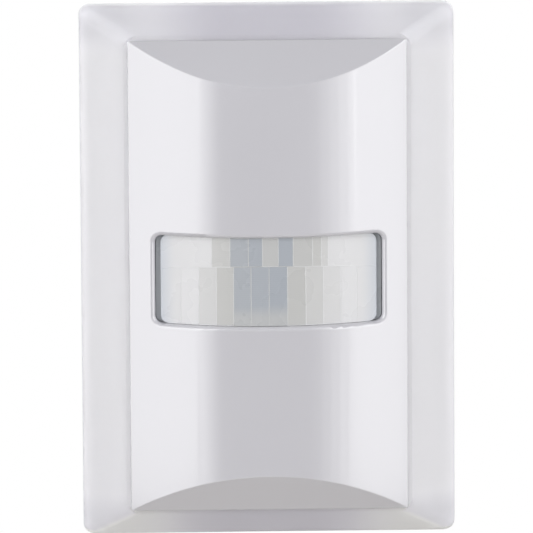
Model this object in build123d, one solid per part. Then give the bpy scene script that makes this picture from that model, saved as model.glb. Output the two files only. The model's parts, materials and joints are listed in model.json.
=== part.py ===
from build123d import *
import math
import os

# A plug-in motion sensor light, in millimetres. The wall is the plane Y = 0 and the front faces -Y.
# Every depth below is a distance in front of the wall, so a depth of 12 lies at Y = -12.
# X runs to the right of somebody looking at the front and Z runs up.

# Translucent border round the front
PLATE_W = 84.0
PLATE_H = 121.2
PLATE_R = 2.4
PLATE_WALL = 2.0
SKIRT = 3.6
SLOPE_RISE = 5.6
SLOPE_TOP_R = 3.0
STEP_RISE = 1.0
STEP_RUN = 1.0
OUTER_ROUND = 1.8

# Half-barrel front cover
COVER_W = 62.3
COVER_H = 107.5
COVER_RIM = 0.3
BARREL_RISE = 8.1
SCOOP_RUN = 9.35
COVER_WALL = 2.0
COLLAR_INSET = 2.2
COLLAR_WALL = 1.5
CREST_ROUND = 0.35

# Window and lens
WINDOW_W = 50.8
WINDOW_H = 20.3
WINDOW_R = 1.8
LIP_ROUND = 0.9
LENS_W = 48.4
LENS_H = 19.9
LENS_R = 1.5
LENS_BEND = 55.0
LENS_WALL = 0.8
LENS_RECESS = 1.2
LENS_FACET = 4.1
FLANGE_W = 53.6
FLANGE_H = 25.0
FLANGE_T = 1.0
SEAT_WALL = 1.6

# Rear housing
HOUSING_DEPTH = 12.0
HOUSING_W = 72.0
HOUSING_H = 110.0
HOUSING_R = 4.0
HOUSING_WALL = 2.0
LIP_T = 1.6
LIP_CLEAR = 0.15
BACK_ROUND = 1.0
LABEL = (39.4, 23.4, 1.5)
LABEL_AT = (0.0, -14.0)
LABEL_T = 0.25

# Depths of the stack, from the wall to the crown of the barrel
RIM_DEPTH = HOUSING_DEPTH + SKIRT
SLOPE_TOP = RIM_DEPTH + SLOPE_RISE
BASE = SLOPE_TOP + STEP_RISE
FOOT = BASE + COVER_RIM
CROWN = FOOT + BARREL_RISE
BARREL_R = ((COVER_W / 2) ** 2 + BARREL_RISE**2) / (2 * BARREL_RISE)
BARREL_AXIS = CROWN - BARREL_R
LENS_FRONT = CROWN - LENS_RECESS
FLANGE_FRONT = 19.0
FLANGE_BACK = FLANGE_FRONT - FLANGE_T
COLLAR_BACK = 17.4

# Circuit board, the posts that carry it and the towers that take the long screws
GAP = 0.05
BOARD_W = 66.6
BOARD_H = 104.6
BOARD_BACK = 10.0
BOARD_T = 1.6
BOARD_FRONT = BOARD_BACK + BOARD_T
BOARD_POSTS = [(x, z) for x in (-25.0, 25.0) for z in (-25.0, 25.0)]
BOARD_POST_R = 2.6
TOWERS = [(x, z) for x in (-24.0, 24.0) for z in (-42.5, 42.5)]
TOWER_R = 3.9
COVER_POST_R = 3.2
POST_JOIN = 12.0
RETAINER_POSTS = [(-22.0, 15.2), (22.0, -15.2)]
RETAINER_POST_R = 2.3

# Screws: head radius, head height, shank radius
LONG_SCREW = (2.6, 1.9, 1.4)
SHORT_SCREW = (2.0, 1.3, 0.95)
LONG_SEAT = 5.0

# Mains plug: two flat blades on the standard spacing, in line with the upper outlet of a duplex
BLADE_SPACING = 12.7
BLADE_T = 1.5
LINE_W = 6.35
NEUTRAL_W = 7.9
BLADE_LENGTH = 16.5
BLADE_HOLE_AT = 11.7
BLADE_HOLE_R = 1.6
BLADE_Z = 19.5
TAIL_W = 4.5
TAIL_FRONT = 8.4
SHOULDER = 1.5
SHOULDER_T = 1.6
HOLDER_FRONT = 6.0
EAR_T = 1.0
EAR_X = 16.0
LEAD_R = 0.7
LEAD_DEPTH = 7.4
LEAD_RISE = 7.5

# Slide switch behind the board's right edge
SWITCH_Z = -34.0
SWITCH_DEPTH = 7.65
SWITCH_BODY = (3.8, 4.6, 8.8)
SWITCH_X = 33.2
SWITCH_TRAVEL = 2.0
KNOB_T = 2.0
KNOB_L = 3.0
KNOB_PROUD = 1.2
KNOB_ROOT = 2.0

# Sensor under the lens
PIR_SPACER = (5.2, 2.0)
PIR_BASE_R = 4.6
PIR_CAN_R = 4.1
PIR_CAN_T = 3.6
PIR_WINDOW = (4.0, 3.0)
PIR_SHEET = 0.3
PIR_PIN_R = 0.225
PIR_PINS = [(-1.8, 1.8), (1.8, 1.8), (-1.8, -1.8)]
PHOTOCELL_AT = (11.0, 0.0)
SHROUD_BACK = (31.0, 17.0, 1.0)
SHROUD_FRONT = (48.6, 20.1, 1.5)
SHROUD_WALL = 1.0
SHROUD_TOP = 15.55
RETAINER_BACK = 15.7

# Light sources round the board's edge and the reflector that turns their light outwards
LED_SIZE = (2.8, 3.5, 0.7)
LED_INSET = 1.5
LED_SIDE_Z = (-37.5, -12.5, 12.5, 37.5)
LED_END_X = (-14.0, 14.0)
REFLECTOR_BACK = (60.0, 98.0, 1.0)
REFLECTOR_WALL = 1.2


def face_plane(depth):
    """Plane parallel to the wall at a depth in front of it, facing forward."""
    return Plane.XZ.offset(depth)


def slab(width, height, back, front, radius=0.0, at=(0.0, 0.0)):
    """Plate parallel to the wall between two depths."""
    shape = RectangleRounded(width, height, radius) if radius else Rectangle(width, height)
    return extrude(face_plane(back) * Pos(*at) * shape, front - back)


def drum(radius, back, front, at=(0.0, 0.0)):
    """Round bar square to the wall between two depths."""
    return extrude(face_plane(back) * Pos(*at) * Circle(radius), front - back)


def taper(back_size, front_size, back, front):
    """Straight-sided solid between two rounded outlines, each given as (width, height, radius)."""
    ends = [face_plane(back) * RectangleRounded(*back_size)]
    ends += [face_plane(front) * RectangleRounded(*front_size)]
    return loft(ends, ruled=True)


def shrunk(size, amount, radius=0.5):
    """The outline (width, height, radius) brought in by an amount all round."""
    return (size[0] - 2 * amount, size[1] - 2 * amount, radius)


def screw(size, seat, length, at, forward=1):
    """Pan-head screw on a seat depth, its shank running forward (1) or back to the wall (-1)."""
    head_r, head_t, shank_r = size
    head = Pos(0, 0, -head_t / 2) * Cylinder(head_r, head_t)
    head = fillet(head.edges().sort_by(Axis.Z)[0], head_t * 0.45)
    shank = Pos(0, 0, length / 2) * Cylinder(shank_r, length)
    shank = chamfer(shank.edges().sort_by(Axis.Z)[-1], shank_r * 0.5)
    arm = Box(head_r * 1.15, head_r * 0.26, head_t)
    cross = Pos(0, 0, -head_t) * (arm + Rot(0, 0, 90) * arm)
    turned = Plane((at[0], -seat, at[1]), z_dir=(0, -forward, 0))
    return turned * (head + shank - cross)


def rear_housing():
    """White tray against the wall, with a lip that closes the border's back."""
    lip_w = PLATE_W - 2 * PLATE_WALL - 2 * LIP_CLEAR
    lip_h = PLATE_H - 2 * PLATE_WALL - 2 * LIP_CLEAR
    tray = slab(HOUSING_W, HOUSING_H, 0, HOUSING_DEPTH + LIP_T, HOUSING_R)
    tray = fillet(tray.faces().sort_by(Axis.Y)[-1].edges(), BACK_ROUND)
    tray += slab(lip_w, lip_h, HOUSING_DEPTH, HOUSING_DEPTH + LIP_T, 0.8)
    wall = HOUSING_WALL
    tray -= slab(
        HOUSING_W - 2 * wall, HOUSING_H - 2 * wall, wall, HOUSING_DEPTH + LIP_T, HOUSING_R - wall
    )
    for at in BOARD_POSTS:
        tray += drum(BOARD_POST_R, wall, BOARD_BACK, at)
        tray -= drum(SHORT_SCREW[2] + GAP, wall + 1, BOARD_BACK, at)
    for at in TOWERS:
        tray += drum(TOWER_R, wall, POST_JOIN - GAP, at)
        tray -= drum(LONG_SCREW[2] + 0.2, 0, POST_JOIN, at)
        tray -= drum(LONG_SCREW[0] + 0.4, 0, LONG_SEAT, at)
    for x in (-EAR_X, EAR_X):
        tray += drum(2.4, wall, HOLDER_FRONT - EAR_T, (x, BLADE_Z))
        tray -= drum(SHORT_SCREW[2] + GAP, 0.8, HOLDER_FRONT, (x, BLADE_Z))
    for x, width in BLADES.values():
        tray -= slab(BLADE_T + 0.2, width + 0.2, 0, wall, at=(x, BLADE_Z))
    tray -= slab(LABEL[0] + 0.4, LABEL[1] + 0.4, 0, LABEL_T + 0.1, LABEL[2], LABEL_AT)
    return tray - switch_slot()


def switch_slot():
    """Slot and finger recess for the switch knob in the housing's right wall."""
    plane = Plane.YZ.offset(HOUSING_W / 2 - HOUSING_WALL - 1)
    centre = Pos(-SWITCH_DEPTH, SWITCH_Z)
    slot_l = KNOB_L + 2 * SWITCH_TRAVEL + 0.6
    slot = extrude(plane * centre * RectangleRounded(KNOB_T + 0.6, slot_l, 0.5), HOUSING_WALL + 2)
    recess = Plane.YZ.offset(HOUSING_W / 2 - 0.8) * centre * RectangleRounded(5.6, 14.0, 1.5)
    return slot + extrude(recess, 2)


def rating_label():
    """Blank sticker in its recess on the back."""
    return slab(LABEL[0], LABEL[1], 0.1, 0.1 + LABEL_T, LABEL[2], LABEL_AT)


def blade(x, width):
    """Brass plug blade with a drilled tip, a shoulder and a narrow soldering tail."""
    at = (x, BLADE_Z)
    bar = slab(BLADE_T, width, -BLADE_LENGTH, HOUSING_WALL + 0.1, at=at)
    tip = bar.faces().sort_by(Axis.Y)[-1]
    bar = chamfer(tip.edges(), 0.5)
    drill = Plane((x, BLADE_HOLE_AT, BLADE_Z), z_dir=(1, 0, 0)) * Cylinder(BLADE_HOLE_R, 4)
    shoulder_front = HOUSING_WALL + GAP + SHOULDER_T
    bar += slab(BLADE_T, width + 2 * SHOULDER, HOUSING_WALL + GAP, shoulder_front, at=at)
    bar += slab(BLADE_T, TAIL_W, HOUSING_WALL, TAIL_FRONT, at=at)
    return bar - drill


def blade_holder():
    """Clamp that traps both blade shoulders against the back wall."""
    back = HOUSING_WALL + GAP
    block = slab(24.0, 15.0, back, HOLDER_FRONT, 1.5, (0, BLADE_Z))
    block = fillet(block.faces().sort_by(Axis.Y)[0].edges(), 0.6)
    block += slab(2 * EAR_X + 5.0, 6.0, HOLDER_FRONT - EAR_T + GAP, HOLDER_FRONT, 2.0, (0, BLADE_Z))
    for x, width in BLADES.values():
        pocket_h = width + 2 * SHOULDER + 0.4
        pocket_front = back + SHOULDER_T + GAP
        block -= slab(BLADE_T + 0.2, pocket_h, back, pocket_front, at=(x, BLADE_Z))
        block -= slab(BLADE_T + 0.2, TAIL_W + 0.2, back, HOLDER_FRONT, at=(x, BLADE_Z))
    for x in (-EAR_X, EAR_X):
        block -= drum(SHORT_SCREW[2] + 0.15, HOLDER_FRONT - 2, HOLDER_FRONT + 1, (x, BLADE_Z))
    return block


def lead(x):
    """Insulated wire from a blade's tail to the back of the board."""
    start = BLADE_Z + TAIL_W / 2 + GAP
    corner = start + LEAD_RISE
    path = FilletPolyline(
        (x, -LEAD_DEPTH, start), (x, -LEAD_DEPTH, corner), (x, -(BOARD_BACK - GAP), corner), radius=2.0
    )
    return sweep(Plane((x, -LEAD_DEPTH, start), z_dir=(0, 0, 1)) * Circle(LEAD_R), path)


def circuit_board():
    """Board with room for the towers, its screws and the sensor's pins."""
    board = slab(BOARD_W, BOARD_H, BOARD_BACK, BOARD_FRONT, 1.0)
    for at in TOWERS:
        board -= drum(TOWER_R + 0.3, BOARD_BACK, BOARD_FRONT, at)
    for at in BOARD_POSTS:
        board -= drum(SHORT_SCREW[2] + 0.2, BOARD_BACK, BOARD_FRONT, at)
    for at in PIR_PINS:
        board -= drum(PIR_PIN_R + 0.1, BOARD_BACK, BOARD_FRONT, at)
    return board


def box_part(size, at, round_edges=0.4, lift=GAP):
    """Box-shaped component (width, height, thickness) standing on the board's front."""
    back = BOARD_FRONT + lift
    body = slab(size[0], size[1], back, back + size[2], at=at)
    return fillet(body.edges(), round_edges)


def x2_capacitor():
    return box_part((13.0, 7.0, 12.0), (-11.0, 33.0), 0.6)


def smoothing_capacitor():
    """Round can with a rolled groove near its foot and a vented top."""
    at = (12.0, 35.0)
    back = BOARD_FRONT + GAP
    can = fillet(drum(4.0, back, back + 11.5, at).edges(), 0.6)
    groove = drum(4.5, back + 1.8, back + 2.4, at) - drum(3.7, back + 1.8, back + 2.4, at)
    vent = slab(5.0, 0.4, back + 11.3, back + 12, at=at) + slab(0.4, 5.0, back + 11.3, back + 12, at=at)
    return can - groove - vent


def timing_capacitor():
    at = (-13.0, -30.0)
    back = BOARD_FRONT + GAP
    can = fillet(drum(2.5, back, back + 7.0, at).edges(), 0.4)
    groove = drum(3.0, back + 1.2, back + 1.6, at) - drum(2.3, back + 1.2, back + 1.6, at)
    return can - groove


def bridge_rectifier():
    """Moulded four-leg rectifier."""
    at = (1.0, 21.0)
    body = box_part((8.4, 6.4, 3.2), at, 0.3, 0.5)
    for x in (-2.55, 2.55):
        for z in (-3.8, 3.8):
            body += slab(0.8, 1.4, BOARD_FRONT + GAP, BOARD_FRONT + 2.0, at=(at[0] + x, at[1] + z))
    return body


def fusible_resistor():
    """Axial resistor lying on the board with its two bent legs."""
    centre = Vector(20.0, -(BOARD_FRONT + 2.2), 34.0)
    body = Cylinder(1.6, 8.5)
    body = fillet(body.edges(), 0.7)
    wire = Cylinder(0.35, 12.0)
    resistor = Plane(centre, x_dir=(1, 0, 0), z_dir=(0, 0, 1)) * (body + wire)
    for z in (-5.65, 5.65):
        resistor += drum(0.35, BOARD_FRONT + GAP, BOARD_FRONT + 2.4, (20.0, centre.Z + z))
    return resistor


def surge_varistor():
    """Disc standing on edge on two legs."""
    x, z, lift = -20.5, 32.0, 5.2
    centre = (x, -(BOARD_FRONT + lift), z)
    disc = Plane(centre, x_dir=(0, 0, 1), z_dir=(1, 0, 0)) * Cylinder(4.0, 3.4)
    disc = fillet(disc.edges(), 1.2)
    for offset in (-2.5, 2.5):
        disc += drum(0.35, BOARD_FRONT + GAP, BOARD_FRONT + lift, (x, z + offset))
    return disc


def control_ic():
    """Sixteen-leg surface-mounted package."""
    at = (0.0, -26.0)
    body = box_part((9.9, 3.9, 1.4), at, 0.15, 0.2)
    for step in range(8):
        for side in (-1, 1):
            x = at[0] + (step - 3.5) * 1.27
            body += slab(0.42, 1.2, BOARD_FRONT + GAP, BOARD_FRONT + 0.7, at=(x, at[1] + side * 2.5))
    return body


def voltage_regulator():
    """Small half-round three-leg package."""
    at = (13.0, -26.0)
    body = drum(2.4, BOARD_FRONT + 2.5, BOARD_FRONT + 7.3, at)
    body -= slab(6.0, 3.0, BOARD_FRONT + 2, BOARD_FRONT + 8, at=(at[0], at[1] - 2.9))
    for step in (-1, 0, 1):
        body += slab(0.45, 0.45, BOARD_FRONT + GAP, BOARD_FRONT + 3, at=(at[0] + step * 1.27, at[1]))
    return body


def chip_components():
    """Small chip resistors and capacitors in two short rows."""
    chips = []
    for row_z in (-34.0, -38.5):
        for step in range(6):
            chips.append(box_part((1.25, 2.0, 0.6), (-8.0 + step * 3.2, row_z), 0.1))
    return Compound(children=chips)


def edge_leds():
    """White light sources along the board's four edges, each with a dished top."""
    side_x = BOARD_W / 2 - LED_INSET
    end_z = BOARD_H / 2 - LED_INSET
    places = [(x, z, 0) for x in (-side_x, side_x) for z in LED_SIDE_Z]
    places += [(x, z, 90) for x in LED_END_X for z in (-end_z, end_z)]
    lamps = []
    for x, z, turn in places:
        width, height = (LED_SIZE[0], LED_SIZE[1]) if turn == 0 else (LED_SIZE[1], LED_SIZE[0])
        lamp = slab(width, height, BOARD_FRONT + GAP, BOARD_FRONT + GAP + LED_SIZE[2], 0.2, (x, z))
        dish = drum(1.1, BOARD_FRONT + LED_SIZE[2] - 0.2, BOARD_FRONT + 1, (x, z))
        lamps.append(lamp - dish)
    return Compound(children=lamps)


def switch_body():
    """Metal-cased slide switch with a pocket for the knob's root."""
    depth, thick, length = SWITCH_BODY
    centre = (SWITCH_X - depth / 2, -SWITCH_DEPTH, SWITCH_Z)
    case = Pos(*centre) * Box(depth, thick, length)
    case = fillet(case.edges().filter_by(Axis.Z), 0.3)
    pocket_l = KNOB_L + 2 * SWITCH_TRAVEL + 0.4
    pocket = Box(2 * KNOB_ROOT + 0.4, KNOB_T + 0.2, pocket_l)
    return case - Pos(SWITCH_X, -SWITCH_DEPTH, SWITCH_Z) * pocket


def switch_knob():
    """Knob in its middle position, its root in the switch and its grip proud of the wall."""
    start = SWITCH_X - KNOB_ROOT
    end = HOUSING_W / 2 + KNOB_PROUD
    knob = Pos((start + end) / 2, -SWITCH_DEPTH, SWITCH_Z) * Box(end - start, KNOB_T, KNOB_L)
    knob = fillet(knob.faces().sort_by(Axis.X)[-1].edges(), 0.35)
    for step in (-0.7, 0, 0.7):
        knob -= Pos(end, -SWITCH_DEPTH, SWITCH_Z + step) * Box(0.4, KNOB_T, 0.25)
    return knob


def pir_spacer():
    """Plastic collar that lifts the sensor off the board."""
    radius, height = PIR_SPACER
    collar = drum(radius, BOARD_FRONT, BOARD_FRONT + height)
    for at in PIR_PINS:
        collar -= drum(PIR_PIN_R + GAP, BOARD_FRONT, BOARD_FRONT + height, at)
    return collar


def pir_header():
    """Metal base of the sensor with its three pins."""
    back = BOARD_FRONT + PIR_SPACER[1]
    base = drum(PIR_BASE_R, back, back + 0.5)
    for at in PIR_PINS:
        base += drum(PIR_PIN_R, BOARD_BACK - 0.8, back + 0.2, at)
    return base


def pir_can():
    """Drawn steel cap with a flange and a rectangular window."""
    back = BOARD_FRONT + PIR_SPACER[1] + 0.5
    front = back + PIR_CAN_T
    can = drum(PIR_CAN_R, back, front)
    can = fillet(can.edges().sort_by(Axis.Y)[0], 0.5)
    can += drum(PIR_BASE_R, back, back + 0.4)
    can += slab(1.0, 1.0, back, back + 0.4, at=(3.6, 3.6))
    can -= drum(PIR_CAN_R - PIR_SHEET, back, front - PIR_SHEET)
    return can - slab(PIR_WINDOW[0], PIR_WINDOW[1], front - 1, front)


def pir_window():
    """Dark filter pane behind the opening in the can."""
    front = BOARD_FRONT + PIR_SPACER[1] + 0.5 + PIR_CAN_T - PIR_SHEET
    return slab(PIR_WINDOW[0] + 1.0, PIR_WINDOW[1] + 1.0, front - 0.5, front)


def photocell():
    """Light-dependent resistor on two legs, with its track raised on top."""
    x, z = PHOTOCELL_AT
    back = BOARD_FRONT + 2.6
    cell = fillet(drum(2.5, back, back + 1.8, PHOTOCELL_AT).edges(), 0.3)
    for step in (-1.2, 0, 1.2):
        cell += slab(3.2, 0.3, back + 1.7, back + 1.95, at=(x, z + step))
    for step in (-1.3, 1.3):
        cell += drum(0.25, BOARD_FRONT + GAP, back + 0.5, (x + step, z))
    return cell


def sensor_shroud():
    """Funnel between the board and the lens that keeps the lamp's own light off the sensor."""
    back = BOARD_FRONT + GAP
    inner_back = shrunk(SHROUD_BACK, SHROUD_WALL)
    inner_front = shrunk(SHROUD_FRONT, SHROUD_WALL, 0.8)
    outside = taper(SHROUD_BACK, SHROUD_FRONT, back, SHROUD_TOP)
    return outside - taper(inner_back, inner_front, back, SHROUD_TOP)


def lens_retainer():
    """Frame screwed behind the lens flange."""
    front = FLANGE_BACK - GAP
    frame = slab(FLANGE_W, FLANGE_H, RETAINER_BACK, front, 1.5)
    for at in RETAINER_POSTS:
        frame += drum(3.0, RETAINER_BACK, front, at)
        frame += slab(6.0, 4.0, RETAINER_BACK, front, at=(at[0], at[1] - math.copysign(2.5, at[1])))
    frame -= slab(LENS_W - 2 * LENS_WALL, LENS_H - 2 * LENS_WALL, RETAINER_BACK, front, 0.8)
    for at in RETAINER_POSTS:
        frame -= drum(SHORT_SCREW[2] + 0.15, RETAINER_BACK, front, at)
    return frame


def lens_block(offset):
    """Solid bounded by the lens's bent face, brought in by an offset on every side but the back."""
    half = LENS_W / 2 - offset
    bend = LENS_BEND - offset
    axis = LENS_FRONT - LENS_BEND
    edge = axis + math.sqrt(bend**2 - half**2)
    left = (-half, -edge)
    right = (half, -edge)
    profile = ThreePointArc(left, (0, -(axis + bend)), right)
    profile += Polyline(right, (half, -FLANGE_BACK), (-half, -FLANGE_BACK), left)
    bent = extrude(Plane.XY * make_face(profile), LENS_H / 2 - offset, both=True)
    radius = max(LENS_R - offset, 0.4)
    return bent & slab(2 * half, LENS_H - 2 * offset, FLANGE_BACK, LENS_FRONT, radius)


def fresnel_lens():
    """Milky bent lens moulded with two rows of facets, side walls and a seating flange."""
    lens = lens_block(0) + slab(FLANGE_W, FLANGE_H, FLANGE_BACK, FLANGE_FRONT, 1.5)
    lens -= lens_block(LENS_WALL)
    axis = LENS_FRONT - LENS_BEND
    inner = LENS_BEND - LENS_WALL
    for step in range(-4, 5):
        turn = math.degrees(step * LENS_FACET / LENS_BEND)
        groove = Pos(0, -inner, 0) * Box(0.25, 0.3, LENS_H - 2 * LENS_WALL - 1.0)
        lens -= Pos(0, -axis, 0) * Rot(0, 0, turn) * groove
    return lens


def reflector_frame():
    """White ring between the board and the cover's collar that throws light out to the border."""
    collar = (COVER_W - 2 * COLLAR_INSET, COVER_H - 2 * COLLAR_INSET, 1.0)
    back = BOARD_FRONT + GAP
    front = COLLAR_BACK - GAP
    outside = taper(REFLECTOR_BACK, collar, back, front)
    inner_back = shrunk(REFLECTOR_BACK, REFLECTOR_WALL)
    return outside - taper(inner_back, shrunk(collar, REFLECTOR_WALL), back, front)


def diffuser_frame():
    """Frosted border: a short skirt, four mitred slopes, a small step and a ledge under the cover."""
    plate = (PLATE_W, PLATE_H, PLATE_R)
    slope_end = (COVER_W + 2 * STEP_RUN, COVER_H + 2 * STEP_RUN, SLOPE_TOP_R)
    step_end = (COVER_W + 0.1, COVER_H + 0.1, 0.5)
    body = slab(PLATE_W, PLATE_H, HOUSING_DEPTH, RIM_DEPTH, PLATE_R)
    body += taper(plate, slope_end, RIM_DEPTH, SLOPE_TOP)
    shoulder = body.edges().filter_by(lambda e: abs(e.center().Y + RIM_DEPTH) < 0.01)
    body = fillet(shoulder, OUTER_ROUND)
    body += taper(slope_end, step_end, SLOPE_TOP, BASE)
    hollow_front = RIM_DEPTH - 0.6
    hollow = slab(*shrunk(plate, PLATE_WALL)[:2], HOUSING_DEPTH, hollow_front, 0.8)
    hollow_end = shrunk(slope_end, PLATE_WALL)
    hollow += taper(shrunk(plate, PLATE_WALL, 0.8), hollow_end, hollow_front, BASE - PLATE_WALL)
    opening = slab(COVER_W - 4.0, COVER_H - 4.0, HOUSING_DEPTH, BASE, 0.6)
    return body - hollow - opening


def barrel(offset, half, base):
    """Cylinder segment on a base depth, brought in by an offset, its ends cut by sloping planes."""
    radius = BARREL_R - offset
    edge = BARREL_AXIS + math.sqrt(radius**2 - half**2)
    left = (-half, -edge)
    right = (half, -edge)
    profile = ThreePointArc(left, (0, -(BARREL_AXIS + radius)), right)
    profile += Polyline(right, (half, -base), (-half, -base), left)
    segment = extrude(Plane.XY * make_face(profile), COVER_H / 2, both=True)
    slope = math.atan2(BARREL_RISE, SCOOP_RUN)
    end = COVER_H / 2 - offset / math.sin(slope)
    crest = end - (CROWN + 1 - FOOT) / math.tan(slope)
    upper = [(-base, end), (-FOOT, end), (-CROWN - 1, crest)]
    lower = [(-CROWN - 1, -crest), (-FOOT, -end), (-base, -end)]
    side = make_face(Polyline(*upper, *lower, close=True))
    return segment & extrude(Plane.YZ * side, COVER_W / 2, both=True)


def front_cover():
    """Glossy half-barrel shell with its window, lens seat, locating collar and screw posts."""
    outside = barrel(0, COVER_W / 2, BASE + GAP)
    collar_w = COVER_W - 2 * COLLAR_INSET
    collar_h = COVER_H - 2 * COLLAR_INSET
    shell = outside + slab(collar_w, collar_h, COLLAR_BACK, BASE + 2 * GAP, 0.6)
    hollow = barrel(COVER_WALL, collar_w / 2 - COLLAR_WALL, BASE - 1)
    hollow += slab(collar_w - 2 * COLLAR_WALL, collar_h - 2 * COLLAR_WALL, COLLAR_BACK, BASE - 1, 0.5)
    shell -= hollow

    # Lens seat and screw posts, trimmed by the outside of the shell
    inner = slab(WINDOW_W + 2 * SEAT_WALL, WINDOW_H + 2 * SEAT_WALL, FLANGE_FRONT + GAP, CROWN, 2.5)
    for at in TOWERS:
        inner += drum(COVER_POST_R, POST_JOIN, CROWN, at)
    for at in RETAINER_POSTS:
        inner += drum(RETAINER_POST_R, FLANGE_BACK, CROWN, at)
    inner &= outside + slab(collar_w, collar_h, POST_JOIN, BASE + 2 * GAP)
    cover = shell + inner
    for at in TOWERS:
        cover -= drum(LONG_SCREW[2] + GAP, POST_JOIN, LONG_SEAT + 15.5, at)
    for at in RETAINER_POSTS:
        cover -= drum(SHORT_SCREW[2] + GAP, FLANGE_BACK, FLANGE_BACK + 4.5, at)
    cover -= slab(WINDOW_W, WINDOW_H, COLLAR_BACK, CROWN + 1, WINDOW_R)
    return cover


def rounded_cover():
    """The cover with a soft lip round the window and softened crests."""
    cover = front_cover()
    lip = [edge for edge in cover.edges() if on_barrel(edge) and in_window(edge)]
    cover = fillet(lip, LIP_ROUND)
    crest_z = COVER_H / 2 - SCOOP_RUN
    crests = [edge for edge in cover.edges() if is_crest(edge, crest_z)]
    return fillet(crests, CREST_ROUND)


def on_barrel(edge):
    point = edge @ 0.5
    return abs(math.hypot(point.X, -point.Y - BARREL_AXIS) - BARREL_R) < 0.02


def in_window(edge):
    point = edge @ 0.5
    return abs(point.X) < WINDOW_W / 2 + 0.1 and abs(point.Z) < WINDOW_H / 2 + 0.1


def is_crest(edge, crest_z):
    point = edge @ 0.5
    return abs(point.X) < 0.1 and abs(-point.Y - CROWN) < 0.1 and abs(abs(point.Z) - crest_z) < 0.1


BLADES = {"line": (BLADE_SPACING / 2, LINE_W), "neutral": (-BLADE_SPACING / 2, NEUTRAL_W)}

PARTS = {
    "rear_housing": rear_housing(),
    "rating_label": rating_label(),
    "line_blade": blade(*BLADES["line"]),
    "neutral_blade": blade(*BLADES["neutral"]),
    "blade_holder": blade_holder(),
    "holder_screws": Compound(
        children=[screw(SHORT_SCREW, HOLDER_FRONT + GAP, 4.6, (x, BLADE_Z), -1) for x in (-EAR_X, EAR_X)]
    ),
    "line_lead": lead(BLADES["line"][0]),
    "neutral_lead": lead(BLADES["neutral"][0]),
    "circuit_board": circuit_board(),
    "board_screws": Compound(
        children=[screw(SHORT_SCREW, BOARD_FRONT + GAP, 6.5, at, -1) for at in BOARD_POSTS]
    ),
    "x2_capacitor": x2_capacitor(),
    "smoothing_capacitor": smoothing_capacitor(),
    "bridge_rectifier": bridge_rectifier(),
    "fusible_resistor": fusible_resistor(),
    "surge_varistor": surge_varistor(),
    "timing_capacitor": timing_capacitor(),
    "control_ic": control_ic(),
    "voltage_regulator": voltage_regulator(),
    "chip_components": chip_components(),
    "edge_leds": edge_leds(),
    "switch_body": switch_body(),
    "switch_knob": switch_knob(),
    "pir_spacer": pir_spacer(),
    "pir_header": pir_header(),
    "pir_can": pir_can(),
    "pir_window": pir_window(),
    "photocell": photocell(),
    "sensor_shroud": sensor_shroud(),
    "lens_retainer": lens_retainer(),
    "retainer_screws": Compound(
        children=[screw(SHORT_SCREW, RETAINER_BACK - GAP, 6.0, at) for at in RETAINER_POSTS]
    ),
    "fresnel_lens": fresnel_lens(),
    "reflector_frame": reflector_frame(),
    "diffuser_frame": diffuser_frame(),
    "front_cover": rounded_cover(),
    "housing_screws": Compound(
        children=[screw(LONG_SCREW, LONG_SEAT - GAP, 14.5, at) for at in TOWERS]
    ),
}

os.makedirs("parts", exist_ok=True)
for name, solid in PARTS.items():
    export_step(solid, f"parts/{name}.step")
    print(name, round(solid.volume, 1))
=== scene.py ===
# %% [markdown]
# # A plug-in motion sensor light
#
# The engineering model of this light is finished: its casing, lens, circuit board, plug and switch
# come from the frame, each piece at its real size and place. This lesson gives it its looks. It lays
# out a backdrop, builds the moulded lens facet by facet, mixes one finish for every piece, and lights
# it all in a small product studio. Blender works in metres here, so a size in millimetres is
# multiplied by MM.

# %% Load the frame
import bpy
import bmesh
import json
import math
from mathutils import Matrix, Vector


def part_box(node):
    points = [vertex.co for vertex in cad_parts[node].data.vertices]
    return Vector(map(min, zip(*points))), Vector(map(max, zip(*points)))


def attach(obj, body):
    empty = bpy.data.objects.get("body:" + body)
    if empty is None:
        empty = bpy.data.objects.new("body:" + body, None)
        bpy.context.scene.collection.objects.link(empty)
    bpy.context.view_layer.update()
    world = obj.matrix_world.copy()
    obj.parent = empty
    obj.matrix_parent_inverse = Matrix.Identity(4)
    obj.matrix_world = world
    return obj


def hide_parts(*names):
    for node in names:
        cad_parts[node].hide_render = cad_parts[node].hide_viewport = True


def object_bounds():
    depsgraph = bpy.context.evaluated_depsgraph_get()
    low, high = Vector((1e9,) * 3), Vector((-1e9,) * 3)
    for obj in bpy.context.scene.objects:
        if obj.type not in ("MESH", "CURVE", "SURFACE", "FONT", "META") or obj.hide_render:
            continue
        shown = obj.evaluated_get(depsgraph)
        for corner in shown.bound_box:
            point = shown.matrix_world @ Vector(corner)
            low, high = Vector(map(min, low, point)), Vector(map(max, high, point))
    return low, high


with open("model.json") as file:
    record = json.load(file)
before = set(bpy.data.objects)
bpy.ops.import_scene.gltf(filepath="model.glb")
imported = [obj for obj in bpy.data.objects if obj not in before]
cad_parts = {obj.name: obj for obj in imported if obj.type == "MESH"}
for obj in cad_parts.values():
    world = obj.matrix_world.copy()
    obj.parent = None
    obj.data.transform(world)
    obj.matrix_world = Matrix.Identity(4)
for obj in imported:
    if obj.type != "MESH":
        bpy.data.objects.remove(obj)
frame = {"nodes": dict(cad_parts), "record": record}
cad_low, cad_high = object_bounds()
MM = 0.001

# %% [markdown]
# ## The picture's tones
#
# White plastic on a white ground lives on small steps of light grey. The plain "Standard" view keeps
# those steps as the lamps give them, where a filmic view would squeeze them together.

# %% View settings
scene = bpy.context.scene
scene.view_settings.view_transform = "Standard"
scene.view_settings.look = "None"
scene.view_settings.exposure = 0.0
print("view:", scene.view_settings.view_transform)

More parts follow.
